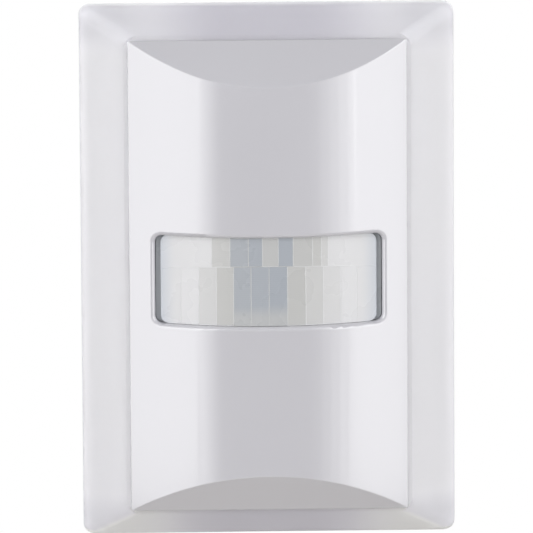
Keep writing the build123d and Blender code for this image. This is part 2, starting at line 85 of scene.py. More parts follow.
# %% [markdown]
# ## Floor and backdrop
#
# A product studio uses one sheet that runs out over the floor and bends up into the wall, so no line
# shows behind the object. Two planes and a bent strip would need joining. Here one edge across the
# room is extruded into the floor, spun through a quarter circle and extruded again into the wall, so
# the sheet is whole from the start. The wall stands far enough back for the light to be seen from
# behind as well.

# %% Sweep the backdrop
SWEEP_WIDTH = 9.0
SWEEP_FRONT = -4.2
SWEEP_BACK = 4.2
SWEEP_FLOOR = -0.32
SWEEP_TOP = 3.5
SWEEP_BEND = 1.2
SWEEP_STEPS = 24


def of_kind(items, kind):
    """The vertices or the edges among what an operator gives back."""
    return [item for item in items if isinstance(item, kind)]


def pull(bm, edges, offset):
    """Extrude some edges by an offset and give back the far edges."""
    made = bmesh.ops.extrude_edge_only(bm, edges=edges)["geom"]
    bmesh.ops.translate(bm, verts=of_kind(made, bmesh.types.BMVert), vec=offset)
    return of_kind(made, bmesh.types.BMEdge)


def new_object(name, data):
    """An object at the origin, linked to the scene."""
    item = bpy.data.objects.new(name, data)
    scene.collection.objects.link(item)
    return item


def smooth_piece(name, bm):
    """Turn a bmesh into a smooth-shaded object."""
    mesh = bpy.data.meshes.new(name)
    bm.to_mesh(mesh)
    bm.free()
    mesh.polygons.foreach_set("use_smooth", [True] * len(mesh.polygons))
    return new_object(name, mesh)


def make_sweep():
    """One sheet: the floor, a quarter round and the wall behind the object."""
    bm = bmesh.new()
    center = Vector((0, SWEEP_BACK - SWEEP_BEND, SWEEP_FLOOR + SWEEP_BEND))
    ends = [bm.verts.new((side * SWEEP_WIDTH / 2, SWEEP_FRONT, SWEEP_FLOOR)) for side in (-1, 1)]
    edges = pull(bm, [bm.edges.new(ends)], Vector((0, center.y - SWEEP_FRONT, 0)))
    turned = bmesh.ops.spin(
        bm, geom=edges, cent=center, axis=(1, 0, 0), angle=math.radians(90),
        steps=SWEEP_STEPS, use_duplicate=False,
    )
    last = of_kind(turned["geom_last"], bmesh.types.BMEdge)
    pull(bm, last, Vector((0, 0, SWEEP_TOP - center.z)))
    bmesh.ops.recalc_face_normals(bm, faces=bm.faces[:])
    return smooth_piece("studio_sweep", bm)


sweep = make_sweep()
print("backdrop faces:", len(sweep.data.polygons))

# %% [markdown]
# ## Helpers for shader nodes
#
# A finish is a small tree of shader nodes. Building one in the editor is a matter of adding a node,
# setting it and drawing a link. Each helper below does those three things for one kind of node and
# gives back the socket that carries its result, so an effect can be read from top to bottom. An input
# is given either another node's socket or a plain value. A Mix node has a set of sockets for each
# kind of value, so its colour sockets are called by their numbers.

# %% Node helpers
NOISE_SPAN = (0.3, 0.7)
MIX_FIRST = 6
MIX_SECOND = 7
MIX_RESULT = 2


def feed(tree, socket, given):
    """Link a socket into an input, or set the input to a plain value."""
    if isinstance(given, bpy.types.NodeSocket):
        tree.links.new(given, socket)
    else:
        socket.default_value = given


def on_piece(tree, output="Object"):
    """The piece's own coordinates, or its own surface direction."""
    return tree.nodes.new("ShaderNodeTexCoord").outputs[output]


def noise(tree, scale, detail, where):
    """A noise texture; nearly all its values lie in NOISE_SPAN."""
    node = tree.nodes.new("ShaderNodeTexNoise")
    for name, given in (("Vector", where), ("Scale", scale), ("Detail", detail)):
        feed(tree, node.inputs[name], given)
    return node.outputs["Fac"]


def remap(tree, value, low, high, span=NOISE_SPAN, smooth=False):
    """Stretch a value that runs over a span so that it runs from low to high."""
    node = tree.nodes.new("ShaderNodeMapRange")
    node.interpolation_type = "SMOOTHSTEP" if smooth else "LINEAR"
    ends = {"Value": value, "From Min": span[0], "From Max": span[1], "To Min": low, "To Max": high}
    for name, given in ends.items():
        feed(tree, node.inputs[name], given)
    return node.outputs["Result"]


def mixed(tree, factor, first, second, blend="MIX"):
    """Mix two colours."""
    node = tree.nodes.new("ShaderNodeMix")
    node.data_type = "RGBA"
    node.blend_type = blend
    for name, given in (("Factor", factor), (MIX_FIRST, first), (MIX_SECOND, second)):
        feed(tree, node.inputs[name], given)
    return node.outputs[MIX_RESULT]


def work_out_vector(tree, operation, output, first, second):
    """One sum on two vectors."""
    node = tree.nodes.new("ShaderNodeVectorMath")
    node.operation = operation
    feed(tree, node.inputs[0], first)
    feed(tree, node.inputs[1], second)
    return node.outputs[output]


print("a noise runs over", NOISE_SPAN)

# %% [markdown]
# ## Shared surface effects
#
# Every moulded, painted or drawn surface has the same three small things: a slow drift in its tone, a
# slow drift in its gloss, and a fine grain that the light catches. On drawn metal they are stretched
# along the metal. They could be built anew in every material, but as one node group they are built
# once, and each finish only says how much. A group's sockets belong to its interface, and inside the
# group two nodes hold them: one gives the inputs, and the other takes the outputs.

# %% Start a node group
COLOR = "NodeSocketColor"
FLOAT = "NodeSocketFloat"
VECTOR = "NodeSocketVector"


def new_group(name, inputs, outputs):
    """A shader node group with named sockets, and the two nodes that hold them inside it."""
    group = bpy.data.node_groups.new(name, "ShaderNodeTree")
    for label, (kind, value) in inputs.items():
        socket = group.interface.new_socket(name=label, in_out="INPUT", socket_type=kind)
        socket.default_value = value
    for label, kind in outputs.items():
        group.interface.new_socket(name=label, in_out="OUTPUT", socket_type=kind)
    given = group.nodes.new("NodeGroupInput")
    result = group.nodes.new("NodeGroupOutput")
    print(f"group {name}:", [item.name for item in group.interface.items_tree])
    return group, given.outputs, result.inputs


print("socket kinds:", COLOR, FLOAT, VECTOR)

# %% [markdown]
# The drift is a broad noise, with more detail so that its edges are ragged. The grain is a fine noise
# that only tilts the surface through a Bump node, by the same small height in every finish, and each
# finish sets how much of that height it shows.

# %% Build the surface group
WHITE = (1.0, 1.0, 1.0, 1.0)
DRIFT_DETAIL = 3.0
GRAIN_DETAIL = 2.0
GRAIN_HEIGHT = 0.02 * MM


def surface_group():
    """Two tones and two roughnesses that drift over the surface, and a grain."""
    inputs = {
        "Tone A": (COLOR, WHITE),
        "Tone B": (COLOR, WHITE),
        "Rough Low": (FLOAT, 0.2),
        "Rough High": (FLOAT, 0.3),
        "Drift Scale": (FLOAT, 40.0),
        "Grain Scale": (FLOAT, 4000.0),
        "Grain Depth": (FLOAT, 0.1),
        "Stretch": (VECTOR, (1.0, 1.0, 1.0)),
    }
    outputs = {"Color": COLOR, "Roughness": FLOAT, "Normal": VECTOR}
    group, given, result = new_group("moulded_surface", inputs, outputs)
    where = work_out_vector(group, "MULTIPLY", "Vector", on_piece(group), given["Stretch"])
    drift = noise(group, given["Drift Scale"], DRIFT_DETAIL, where)
    grain = noise(group, given["Grain Scale"], GRAIN_DETAIL, where)
    color = mixed(group, remap(group, drift, 0.0, 1.0), given["Tone A"], given["Tone B"])
    rough = remap(group, drift, given["Rough Low"], given["Rough High"])
    bump = group.nodes.new("ShaderNodeBump")
    bump.inputs["Distance"].default_value = GRAIN_HEIGHT
    group.links.new(given["Grain Depth"], bump.inputs["Strength"])
    group.links.new(grain, bump.inputs["Height"])
    group.links.new(color, result["Color"])
    group.links.new(rough, result["Roughness"])
    group.links.new(bump.outputs["Normal"], result["Normal"])
    return group


SURFACE = surface_group()
print("surface nodes:", len(SURFACE.nodes))

# %% [markdown]
# The painted shade and glow on two pieces, the border and the lens, change towards their ends. A
# gradient texture would have to be placed on each of them, so a second group measures how far a point
# lies from the middle of the light along a direction. It gives a mask that grows from zero to one
# between two such distances, the same on both sides.

# %% Build the across group
def work_out(tree, operation, *given):
    """One sum on numbers, such as the size of one or the product of two."""
    node = tree.nodes.new("ShaderNodeMath")
    node.operation = operation
    for socket, value in zip(node.inputs, given):
        feed(tree, socket, value)
    return node.outputs["Value"]


def across_group():
    """A mask that is zero in the middle and grows to one towards both ends along a direction."""
    inputs = {"Way": (VECTOR, (1.0, 0.0, 0.0)), "Start": (FLOAT, 0.01), "End": (FLOAT, 0.03)}
    group, given, result = new_group("across_width", inputs, {"Mask": FLOAT})
    reach = work_out_vector(group, "DOT_PRODUCT", "Value", on_piece(group), given["Way"])
    distance = work_out(group, "ABSOLUTE", reach)
    mask = remap(group, distance, 0.0, 1.0, (given["Start"], given["End"]), smooth=True)
    group.links.new(mask, result["Mask"])
    return group


ACROSS = across_group()
print("across nodes:", len(ACROSS.nodes))


def across_mask(tree, start, end, way=(1, 0, 0)):
    """The across mask in a material; start and end are distances from the middle in mm."""
    node = tree.nodes.new("ShaderNodeGroup")
    node.node_tree = ACROSS
    node.inputs["Way"].default_value = way
    node.inputs["Start"].default_value = start * MM
    node.inputs["End"].default_value = end * MM
    return node.outputs["Mask"]


# %% [markdown]
# A finish is one material with the surface group in it. What is the same all over the surface, such
# as how metallic it is or how strong its clear coat, is set on the shader itself. A piece of the
# engineering model keeps its mesh and gets its finish in its material slots.

# %% Make a finish and dress a piece in it
def tone(color, shift):
    """The same colour a little lighter or darker."""
    return tuple(min(1.0, max(0.0, channel * (1 + shift))) for channel in color) + (1.0,)


def finish(
    name, color, rough, drift=0.02, drift_size=25.0, grain=0.1, grain_size=0.25,
    stretch=(1, 1, 1), **sockets,
):
    """A material: colour, low and high roughness, how much drift and grain, and their sizes in mm."""
    material = bpy.data.materials.new(name)
    material.use_nodes = True
    tree = material.node_tree
    shader = tree.nodes["Principled BSDF"]
    surface = tree.nodes.new("ShaderNodeGroup")
    surface.name = "surface"
    surface.node_tree = SURFACE
    surface.inputs["Tone A"].default_value = tone(color, -drift)
    surface.inputs["Tone B"].default_value = tone(color, drift)
    surface.inputs["Rough Low"].default_value = rough[0]
    surface.inputs["Rough High"].default_value = rough[1]
    surface.inputs["Drift Scale"].default_value = 1 / (drift_size * MM)
    surface.inputs["Grain Scale"].default_value = 1 / (grain_size * MM)
    surface.inputs["Grain Depth"].default_value = grain
    surface.inputs["Stretch"].default_value = stretch
    tree.links.new(surface.outputs["Color"], shader.inputs["Base Color"])
    tree.links.new(surface.outputs["Roughness"], shader.inputs["Roughness"])
    tree.links.new(surface.outputs["Normal"], shader.inputs["Normal"])
    for socket, value in sockets.items():
        shader.inputs[socket.replace("_", " ")].default_value = value
    return material


def dress(node, material):
    """Put a finish in every material slot of a piece of the engineering model."""
    piece = frame["nodes"][node]
    if not piece.material_slots:
        piece.data.materials.append(material)
    for slot in piece.material_slots:
        slot.material = material
    print("dressed:", node, "in", material.name)


print("pieces to dress:", len(frame["nodes"]))

# %% [markdown]
# ## The casing
#
# The barrel-shaped cover comes out of a polished mould, so it mirrors the studio's lamps in sharp
# bands. One smooth white shader could do both, but with a clear coat over a soft white body, the
# strength of the bands and the white between them can be set apart. The housing behind has the fine
# matt grain of a spark-eroded mould.

# %% Cover and housing finishes
COVER_WHITE = (0.546, 0.540, 0.576)
HOUSING_WHITE = (0.74, 0.735, 0.745)

cover_gloss = finish(
    "cover_gloss", COVER_WHITE, rough=(0.4, 0.46), drift=0.008, grain=0.02, grain_size=1.6,
    Coat_Weight=1.0, Coat_Roughness=0.085, Coat_IOR=1.9,
)
housing_matte = finish("housing_matte", HOUSING_WHITE, rough=(0.42, 0.5), grain=0.35)
dress("front_cover", cover_gloss)
dress("rear_housing", housing_matte)

# %% [markdown]
# The border round the cover is a light guide: frosted, part clear plastic that lets light wander
# inside it before it comes out again, which is what subsurface scattering does. Light enters it at
# its long sides, so its top and bottom strips are paler towards their ends than in the middle, and
# least of it reaches the corners. Both are painted in: painted shade in the middle of those strips
# and painted shade at the corners. The lower strip slopes down, towards the bright sheet in front of
# the light, and its ends get a painted glow. Each of these is painted light that a mask lets in, and
# all of them together are multiplied with the frosted white.

# %% Border finish
BORDER_FROST = (0.855, 0.842, 0.93)
FROST_DEPTH = 6 * MM
# The next colours are painted light: painted shade in the middle of the top and bottom strips, painted
# shade at the corners, and a painted glow on the ends of the lower strip.
STRIP_PAINTED_SHADE = (0.70, 0.695, 0.70, 1.0)
STRIP_SHADE_ACROSS = (9.0, 34.0)
CORNER_PAINTED_SHADE = (0.82, 0.825, 0.81, 1.0)
CORNER_SHADE_ACROSS = (24.0, 35.0)
CORNER_SHADE_UP = (50.0, 56.0)
LOWER_PAINTED_GLOW = (1.15, 1.165, 1.06, 1.0)
LOWER_GLOW_ACROSS = (16.0, 38.0)
FACING_DOWN = (-0.66, -0.35)
UPWARD = (0, 0, 1)

border_frost = finish(
    "border_frost", BORDER_FROST, rough=(0.38, 0.46), drift=0.012, grain=0.15, grain_size=0.3,
    Subsurface_Weight=0.9, Subsurface_Radius=(1.0, 1.0, 1.0), Subsurface_Scale=FROST_DEPTH,
)
frost = border_frost.node_tree
# Painted shade in the middle of the top and bottom strips.
border_painted_light = mixed(frost, across_mask(frost, *STRIP_SHADE_ACROSS), STRIP_PAINTED_SHADE, WHITE)
# Painted shade at the corners.
corner = work_out(
    frost, "MULTIPLY", across_mask(frost, *CORNER_SHADE_ACROSS), across_mask(frost, *CORNER_SHADE_UP, way=UPWARD)
)
border_painted_light = mixed(frost, corner, border_painted_light, CORNER_PAINTED_SHADE)
# A painted glow on the ends of the lower strip, where it faces down.
facing = frost.nodes.new("ShaderNodeSeparateXYZ")
frost.links.new(on_piece(frost, "Normal"), facing.inputs["Vector"])
downward = remap(frost, facing.outputs["Z"], 1.0, 0.0, FACING_DOWN, smooth=True)
lower_glow_mask = work_out(frost, "MULTIPLY", across_mask(frost, *LOWER_GLOW_ACROSS), downward)
border_painted_light = mixed(frost, lower_glow_mask, border_painted_light, LOWER_PAINTED_GLOW)
# The painted shade and glow are multiplied with the frosted white.
frost_with_painted_light = mixed(frost, 1.0, frost.nodes["surface"].outputs["Color"], border_painted_light, "MULTIPLY")
frost.links.new(frost_with_painted_light, frost.nodes["Principled BSDF"].inputs["Base Color"])
dress("diffuser_frame", border_frost)

# %% [markdown]
# ## The lens
#
# The window holds a lens moulded from milky polyethylene. Its front is a bent sheet divided into two
# rows of facets with thin raised lines between them, and each facet throws a different part of the
# room onto the sensor. Behind the sheet come side walls, a narrow shelf that leaves a grey gap at each
# end of the window, and a flange that seats the lens in the cover. The gap is shaded by its recess,
# and its walls also get painted shade. All its sizes start from the box of the engineering model's
# lens, which this one replaces.

# %% Lens sizes
lens_low, lens_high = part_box("fresnel_lens")
RIM_ACROSS = 2.6 * MM
RIM_UP = 2.38 * MM
RIM_DEEP = 1.0 * MM
FLANGE_HALF = Vector((lens_high.x, 0, lens_high.z))
FLANGE_FRONT = lens_high.y - RIM_DEEP
LENS_HALF = Vector((lens_high.x - RIM_ACROSS, 0, lens_high.z - RIM_UP))
LENS_FRONT = lens_low.y
LENS_BEND = 55.0 * MM
LENS_CORNER = 1.7 * MM
LENS_EDGE = 0.1 * MM
LENS_WALL = 0.8 * MM
ROW_LINE = 3.5 * MM
print("lens face:", [round(2 * size / MM, 1) for size in (LENS_HALF.x, LENS_HALF.z)], "mm")

# %% [markdown]
# Seen from the front, a facet that looks straight at the sensor's dark cap is blue-grey, one beside
# it is a warmer grey, and the outer ones look at the white funnel and are nearly white. Real
# refraction would need every groove of the lens. Instead every facet is given one number, its
# paleness, which the finish turns into a colour. Facet lines are in millimetres from the middle.

# %% Facet lines and paleness
UPPER_LINES = (-12.8, -8.7, -4.6, -1.45, 2.1, 5.4, 9.8, 11.8, 13.3)
UPPER_PALE = (0.95, 0.57, 0.1, 0.03, 0.42, 0.0, 0.46, 0.52, 0.68, 0.95)
LOWER_LINES = (-19.7, -15.7, -11.8, -7.95, -4.05, 0.0, 4.1, 8.25, 12.2, 16.0, 19.8)
LOWER_PALE = (0.93, 0.97, 0.74, 0.5, 0.08, 0.04, 0.0, 0.48, 0.66, 0.82, 0.97, 0.95)


def facet_pale(point):
    """The paleness of the facet at a point of the flat sheet."""
    lines, pales = (UPPER_LINES, UPPER_PALE) if point.z > ROW_LINE else (LOWER_LINES, LOWER_PALE)
    return pales[sum(point.x > line * MM for line in lines)]


print("facets:", len(UPPER_PALE), "above and", len(LOWER_PALE), "below")

# %% [markdown]
# The sheet starts flat, as one face that is scaled to the window and turned upright. A vertex bevel
# rounds its corners, a cut divides the two rows, and further cuts divide each row. Then an inset of
# every face by itself sinks the facets and leaves the lines between them standing, which keeps all
# the lines equally wide whatever the facets' widths are.

# %% Cut the flat facets
CUT_REACH = 0.0001 * MM
CORNER_STEPS = 6
LINE_HALF = 0.09 * MM
FACET_SINK = 0.05 * MM
LINE_LIFT = 0.36
ACROSS_WAY = (1, 0, 0)


def cut(bm, faces, place, direction):
    """Cut some faces of the sheet along a plane; fromkeys drops repeats and keeps the order."""
    edges = dict.fromkeys(edge for face in faces for edge in face.edges)
    verts = dict.fromkeys(vert for face in faces for vert in face.verts)
    bmesh.ops.bisect_plane(
        bm, geom=[*verts, *edges, *faces], plane_co=place, plane_no=direction, dist=CUT_REACH
    )


def flat_facets(bm):
    """The flat sheet, cut into facets that are sunk between raised lines."""
    bmesh.ops.create_grid(bm, x_segments=1, y_segments=1, size=1)
    inset = Vector((LENS_HALF.x - LENS_EDGE, LENS_HALF.z - LENS_EDGE, 1))
    bmesh.ops.scale(bm, verts=bm.verts, vec=inset)
    bmesh.ops.rotate(bm, verts=bm.verts, matrix=Matrix.Rotation(math.radians(90), 3, "X"))
    bmesh.ops.bevel(
        bm, geom=bm.verts[:], offset=LENS_CORNER, affect="VERTICES", segments=CORNER_STEPS,
        profile=0.5, material=-1,
    )
    cut(bm, bm.faces[:], (0, 0, ROW_LINE), UPWARD)
    for lines, upper in ((LOWER_LINES, False), (UPPER_LINES, True)):
        for line in lines:
            row = [face for face in bm.faces if (face.calc_center_median().z > ROW_LINE) == upper]
            cut(bm, row, (line * MM, 0, 0), ACROSS_WAY)
    pale = bm.faces.layers.float.new("paleness")
    facets = bm.faces[:]
    made = bmesh.ops.inset_individual(
        bm, faces=facets, thickness=LINE_HALF, depth=-FACET_SINK, use_even_offset=True
    )
    for face in facets:
        face[pale] = facet_pale(face.calc_center_median())
    for face in made["faces"]:
        face[pale] = min(1.0, facet_pale(face.calc_center_median()) + LINE_LIFT)
    return len(facets)


lens_bm = bmesh.new()
print("facets cut:", flat_facets(lens_bm), "faces with the lines:", len(lens_bm.faces))

# %% [markdown]
# A bend needs something to bend, so the sheet is first cut into upright slices. Each point then keeps
# its height and moves back onto a cylinder round an upright axis. On the real lens the line between
# the rows falls a little as the sheet turns away, so points near it are also lowered, and those at
# the top and bottom edges are not.

# %% Bend the sheet
SLICE = 1.0 * MM
ROW_FALL = math.tan(math.radians(12))


def bend(bm):
    """Slice the sheet, bend it, and let the row line fall towards its ends."""
    slices = int(LENS_HALF.x / SLICE)
    for step in range(-slices, slices + 1):
        cut(bm, bm.faces[:], (step * SLICE, 0, 0), ACROSS_WAY)
    axis = LENS_FRONT + LENS_BEND
    for vert in bm.verts:
        radius = LENS_BEND - vert.co.y
        sag = radius - math.sqrt(radius**2 - vert.co.x**2)
        edge = math.copysign(LENS_HALF.z, vert.co.z - ROW_LINE)
        vert.co.z -= sag * ROW_FALL * (vert.co.z - edge) / (ROW_LINE - edge)
        vert.co.y = axis - radius + sag


bend(lens_bm)
print("sheet reaches back", round((max(vert.co.y for vert in lens_bm.verts) - LENS_FRONT) / MM, 2), "mm")

# %% [markdown]
# The rest of the lens is its outline pulled on, one extrusion after another: out and back round a
# small edge, back along the walls, out over the shelf, back again, and out to the flange. The first
# extrusions follow the bend, and the later ones end on flat depths.

# %% Pull the outline into walls, a shelf and a flange
EDGE_STEPS = 3
SHELF_Y = -23.1 * MM
SHELF_REACH = Vector((1.05, 0, 0.01)) * MM
# The paleness of the walls, shelf and flange is painted shade of the narrow recess they stand in.
WALL_SHADED_PALENESS = 0.6
BEHIND_FRONT = 0.01 * MM


def pull_outline(bm, edges, half, y=None, back=0.0):
    """Extrude the sheet's outline to a new half size, at a depth or a little further back."""
    made = bmesh.ops.extrude_edge_only(bm, edges=edges)["geom"]
    verts = of_kind(made, bmesh.types.BMVert)
    reach_x = max(abs(vert.co.x) for vert in verts)
    reach_z = max(abs(vert.co.z) for vert in verts)
    for vert in verts:
        vert.co.x *= half.x / reach_x
        vert.co.z *= half.z / reach_z
        vert.co.y = vert.co.y + back if y is None else y
    return of_kind(made, bmesh.types.BMEdge)


def round_edge(bm, edges):
    """Pull the outline out and back through a quarter circle."""
    done = 0.0
    for step in range(1, EDGE_STEPS + 1):
        angle = math.radians(90 * step / EDGE_STEPS)
        inward = LENS_EDGE * (1 - math.sin(angle))
        back = LENS_EDGE * (1 - math.cos(angle))
        edges = pull_outline(bm, edges, LENS_HALF - Vector((inward, 0, inward)), back=back - done)
        done = back
    return edges


def seat(bm):
    """Give the bent sheet its edge, walls, shelf and flange."""
    edges = round_edge(bm, [edge for edge in bm.edges if edge.is_boundary])
    edges = pull_outline(bm, edges, LENS_HALF, y=SHELF_Y)
    edges = pull_outline(bm, edges, LENS_HALF + SHELF_REACH, y=SHELF_Y)
    edges = pull_outline(bm, edges, LENS_HALF + SHELF_REACH, y=FLANGE_FRONT)
    pull_outline(bm, edges, FLANGE_HALF, y=FLANGE_FRONT)
    pale = bm.faces.layers.float["paleness"]
    # The walls, shelf and flange are paler than the blue facets and greyer than the milky ones: painted
    # shade.
    for face in bm.faces:
        if max(vert.co.y for vert in face.verts) > SHELF_Y - BEHIND_FRONT:
            face[pale] = WALL_SHADED_PALENESS


seat(lens_bm)
print("lens faces:", len(lens_bm.faces))

# %% [markdown]
# So far the lens is a skin without thickness. Its doubles are merged and its faces are turned to look
# forwards, and only then a Solidify modifier gives it its wall, inwards from the skin. The wall could
# be extruded too, but as a modifier it stays one number.

# %% Finish the lens mesh
WELD = 0.002 * MM
LENS_SHARP = math.radians(25)

bmesh.ops.remove_doubles(lens_bm, verts=lens_bm.verts, dist=WELD)
bmesh.ops.recalc_face_normals(lens_bm, faces=lens_bm.faces[:])
if sum(face.calc_area() * face.normal.y for face in lens_bm.faces) > 0:
    bmesh.ops.reverse_faces(lens_bm, faces=lens_bm.faces[:])
lens = smooth_piece("facet_lens", lens_bm)
lens.data.set_sharp_from_angle(angle=LENS_SHARP)
wall = lens.modifiers.new("wall", "SOLIDIFY")
wall.thickness = LENS_WALL
wall.offset = -1
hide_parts("fresnel_lens")
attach(lens, "light")
print("lens skin:", len(lens.data.vertices), "points,", len(lens.data.polygons), "faces")

# %% [markdown]
# The lens finish turns paleness into colour with a ramp: blue-grey, then warm grey, then milk. The
# foot of the lens looks past the sensor and pales, and the two ends of the window get painted shade,
# darker and cooler, where the sheet turns away. The foot lifts the paleness, and the painted shade at
# the ends is multiplied in, because it keeps the facets' steps and only darkens and cools them.

# %% Lens colour
FACET_BLUE = (0.37, 0.395, 0.435, 1.0)
FACET_GREY = (0.50, 0.50, 0.493, 1.0)
FACET_MILK = (0.655, 0.655, 0.67, 1.0)
GREY_AT = 0.5
FOOT_SPAN = (-8.6 * MM, -4.6 * MM)
FOOT_PALE = 0.35
# Painted shade, darker and cooler, on both ends of the window where the sheet turns away.
END_PAINTED_SHADE = (0.86, 0.90, 0.95, 1.0)
END_SHADE_ACROSS = (20.5, 24.4)

lens_milk = finish(
    "lens_milk", WHITE[:3], rough=(0.24, 0.32), drift=0.004, drift_size=9.0, grain=0.12,
    grain_size=0.8,
)
milk = lens_milk.node_tree
milk_surface = milk.nodes["surface"]
milk_shader = milk.nodes["Principled BSDF"]
paleness = milk.nodes.new("ShaderNodeAttribute")
paleness.attribute_name = "paleness"
place = milk.nodes.new("ShaderNodeSeparateXYZ")
milk.links.new(on_piece(milk), place.inputs["Vector"])
foot = remap(milk, place.outputs["Z"], FOOT_PALE, 0.0, FOOT_SPAN, smooth=True)
ramp = milk.nodes.new("ShaderNodeValToRGB")
ramp.color_ramp.elements[0].color = FACET_BLUE
ramp.color_ramp.elements[1].color = FACET_MILK
ramp.color_ramp.elements.new(GREY_AT).color = FACET_GREY
lifted = work_out(milk, "MAXIMUM", paleness.outputs["Fac"], foot)
milk.links.new(lifted, ramp.inputs["Fac"])
drifted = mixed(milk, 1.0, ramp.outputs["Color"], milk_surface.outputs["Color"], "MULTIPLY")
# The painted shade at the window's ends.
end_painted_shade = mixed(milk, across_mask(milk, *END_SHADE_ACROSS), WHITE, END_PAINTED_SHADE)
milk_color = mixed(milk, 1.0, drifted, end_painted_shade, "MULTIPLY")
milk.links.new(milk_color, milk_shader.inputs["Base Color"])
lens.data.materials.append(lens_milk)
print("lens finish:", lens_milk.name, "ramp steps:", len(ramp.color_ramp.elements))

# %% [markdown]
# Fine grooves run across every facet. They are far too small to model, so they are a bump from a wave
# texture, on top of the moulding's own grain. A wave texture repeats every pi / 10 of its scaled
# coordinate, so its scale is that length over the pitch of the grooves.

# %% Lens grooves
GROOVE_PITCH = 0.45 * MM
GROOVE_DEPTH = 0.012 * MM
GROOVE_STRENGTH = 0.5

grooves = milk.nodes.new("ShaderNodeTexWave")
grooves.bands_direction = "Z"
grooves.inputs["Scale"].default_value = math.pi / (10 * GROOVE_PITCH)
milk.links.new(on_piece(milk), grooves.inputs["Vector"])
groove_bump = milk.nodes.new("ShaderNodeBump")
groove_bump.inputs["Strength"].default_value = GROOVE_STRENGTH
groove_bump.inputs["Distance"].default_value = GROOVE_DEPTH
milk.links.new(grooves.outputs["Fac"], groove_bump.inputs["Height"])
milk.links.new(milk_surface.outputs["Normal"], groove_bump.inputs["Normal"])
milk.links.new(groove_bump.outputs["Normal"], milk_shader.inputs["Normal"])
print("grooves over the lens:", round(2 * LENS_HALF.z / GROOVE_PITCH))

# %% [markdown]
# ## Everything else
#
# Each other piece names its finish in the record, so a finish is a row in a table: its colour, its low
# and high roughness, and what else it needs. First come the metals. The blades are drawn along their
# length, so their grain is stretched that way. Screws, the switch's case and the sensor's can are
# plated, with a finer and rounder grain.

# %% Metals
slots = {entry["node"]: entry["material_slot"] for entry in frame["record"]["subparts"]}
ALONG_BLADE = (1, 0.06, 1)
BARE = {"Metallic": 1.0}
METALS = {
    "blade_metal": (
        (0.80, 0.76, 0.66), (0.16, 0.3),
        {"stretch": ALONG_BLADE, "grain": 0.25, "grain_size": 0.2, **BARE},
    ),
    "screw_steel": ((0.62, 0.63, 0.65), (0.22, 0.36), {"grain": 0.3, "grain_size": 0.15, **BARE}),
    "switch_case": ((0.66, 0.67, 0.69), (0.25, 0.38), {"grain": 0.2, **BARE}),
    "pir_metal": ((0.72, 0.70, 0.66), (0.12, 0.2), {"grain": 0.1, **BARE}),
}


def dress_from(table):
    """Mix the finishes of a table and dress every piece whose slot has that name."""
    for name, (color, rough, extra) in table.items():
        material = finish(name, color, rough, **extra)
        for node in [node for node, slot in slots.items() if slot == name]:
            dress(node, material)


dress_from(METALS)

# %% [markdown]
# Then come the plain mouldings and the printed label. They share an even grain, and differ in how
# rough it leaves them: a reflector is moulded smooth and a holder is not. Dark plastics get more
# drift, because a share of a very small number would not show.

# %% Mouldings, leads and label
MOULDINGS = {
    "holder_white": ((0.76, 0.76, 0.73), (0.4, 0.5), {"grain": 0.3}),
    "spacer_white": ((0.80, 0.80, 0.77), (0.35, 0.45), {"grain": 0.2}),
    "shroud_white": ((0.78, 0.78, 0.78), (0.4, 0.5), {"grain": 0.3}),
    "reflector_white": ((0.86, 0.86, 0.85), (0.2, 0.3), {"grain": 0.1}),
    "retainer_grey": ((0.26, 0.26, 0.27), (0.4, 0.5), {"grain": 0.3}),
    "knob_black": ((0.025, 0.025, 0.027), (0.35, 0.48), {"drift": 0.15, "grain": 0.4}),
    "lead_black": ((0.02, 0.02, 0.02), (0.35, 0.45), {"drift": 0.1, "grain": 0.2}),
    "lead_white": ((0.78, 0.78, 0.76), (0.35, 0.45), {"grain": 0.2}),
    "label_paper": (
        (0.66, 0.67, 0.69), (0.3, 0.4), {"drift": 0.03, "grain": 0.15, "grain_size": 0.12}
    ),
}
dress_from(MOULDINGS)

# %% [markdown]
# Last come the electronics. Dipped and lacquered parts have a thin clear coat over their colour,
# chips are moulded in matt black, and the board is bare laminate with the weave of its glass cloth as
# a coarse grain.

# %% Electronics
LACQUER = {"Coat_Weight": 0.6}
ELECTRONICS = {
    "board_laminate": (
        (0.62, 0.50, 0.28), (0.3, 0.42), {"drift": 0.08, "grain": 0.4, "grain_size": 0.5}
    ),
    "capacitor_yellow": (
        (0.80, 0.52, 0.04), (0.22, 0.3), {"drift": 0.03, "grain": 0.2, **LACQUER}
    ),
    "capacitor_sleeve": ((0.02, 0.025, 0.045), (0.2, 0.3), {"drift": 0.1, **LACQUER}),
    "moulded_black": (
        (0.022, 0.022, 0.022), (0.42, 0.55), {"drift": 0.12, "grain": 0.4, "grain_size": 0.15}
    ),
    "resistor_body": ((0.24, 0.42, 0.50), (0.3, 0.4), {"drift": 0.05, **LACQUER}),
    "varistor_blue": ((0.02, 0.08, 0.36), (0.2, 0.3), {"drift": 0.08, **LACQUER}),
    "chip_ceramic": ((0.16, 0.12, 0.08), (0.35, 0.45), {"drift": 0.15, "grain": 0.3}),
    "led_phosphor": ((0.84, 0.72, 0.22), (0.3, 0.4), {"drift": 0.05, "grain": 0.2}),
    "pir_filter": ((0.03, 0.025, 0.035), (0.1, 0.16), {"drift": 0.1, "grain": 0.05}),
    "photocell_resin": ((0.62, 0.24, 0.07), (0.2, 0.3), {"drift": 0.08, **LACQUER}),
}
dress_from(ELECTRONICS)

# %% [markdown]
# ## Studio sheet and air
#
# The sheet behind a small white product is lit until it burns out to pure white, with lamps of its
# own that do not reach the product. The same is had here from one mix of shaders: what looks straight
# at the sheet meets an even white glow, and all other light meets plain matt paper. The air round the
# studio works the same way, white to look at and a calm fill light for the object.

